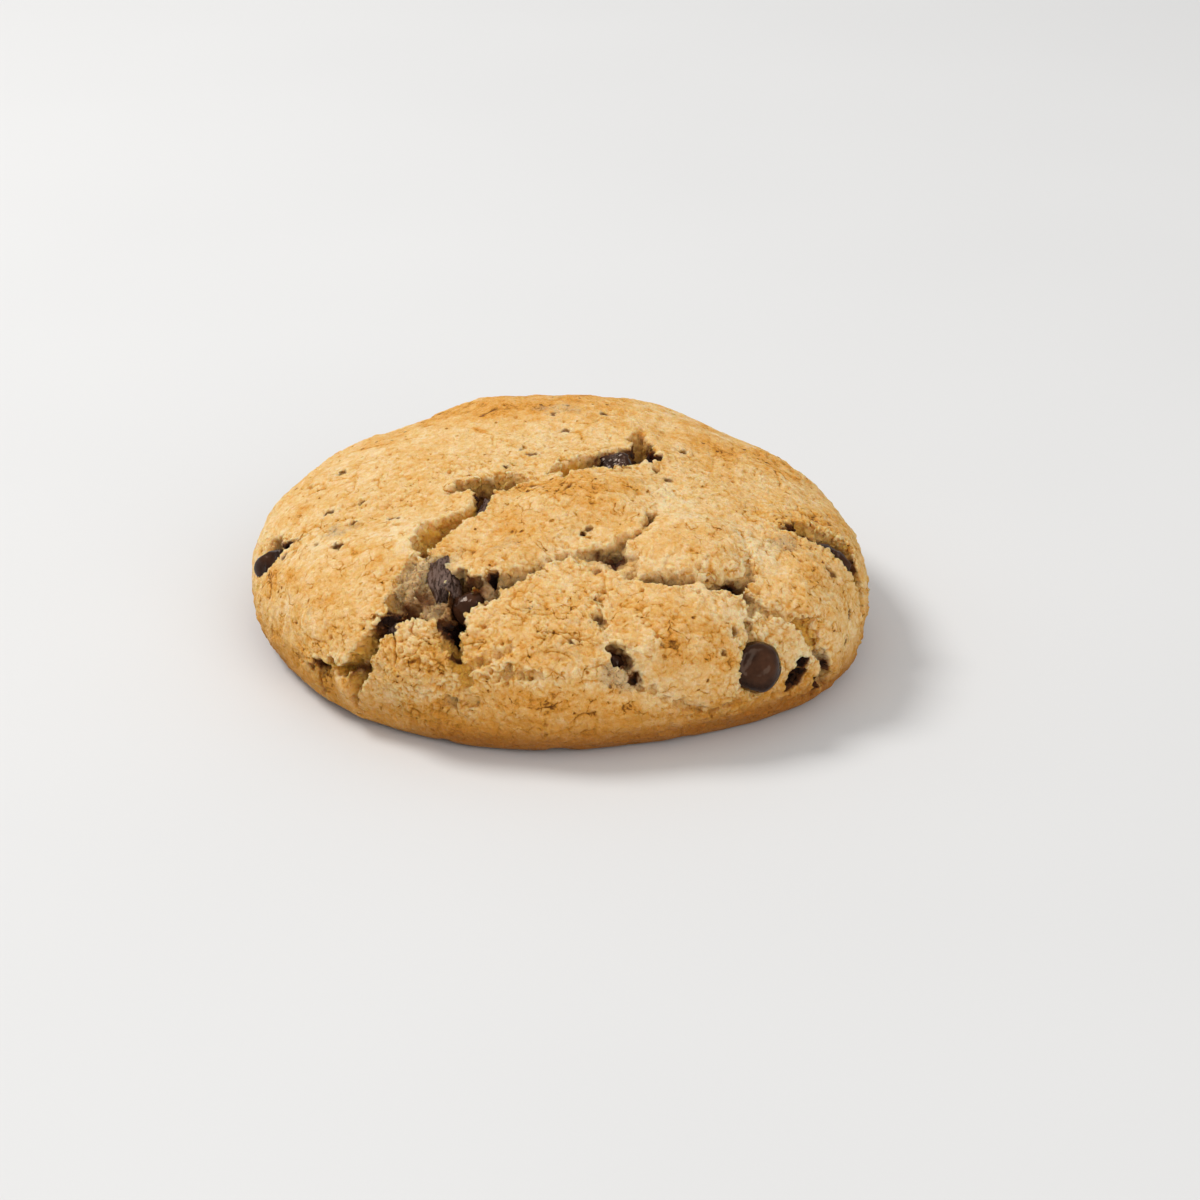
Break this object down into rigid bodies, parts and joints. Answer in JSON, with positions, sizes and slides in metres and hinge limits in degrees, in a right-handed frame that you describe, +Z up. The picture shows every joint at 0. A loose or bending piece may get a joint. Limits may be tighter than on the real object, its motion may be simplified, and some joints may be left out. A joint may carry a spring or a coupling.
{
  "type": "chocolate chip cookie",
  "caption": "Thick domed round cookie on a flat base, its crust split open on top, with chocolate chips showing in the splits and on the rim.",
  "frame": {"origin": "on the flat base, under the middle of the round outline", "axes": "+Z up out of the base through the crown; +X to the right and +Y to the back, with the open splits on the front half"},
  "size_m": [0.1045, 0.1055, 0.0306],
  "materials": {
    "dough": "golden baked crust, dry and crumbly, matte, with paler dough in the splits and browner high spots",
    "chocolate": "dark chocolate, satin to softly glossy, smeared with crumb where it touches the dough"
  },
  "bodies": {
    "root": {"dough": "dough", "chip_front_right": "chocolate", "chip_left_rim": "chocolate", "chip_hollow_upper": "chocolate", "chip_hollow_lower": "chocolate", "chip_long_split_low": "chocolate", "chip_long_split_high": "chocolate", "chip_back_split": "chocolate", "chip_front": "chocolate", "chip_right_rim": "chocolate", "chip_slit": "chocolate"}
  },
  "joints": []
}
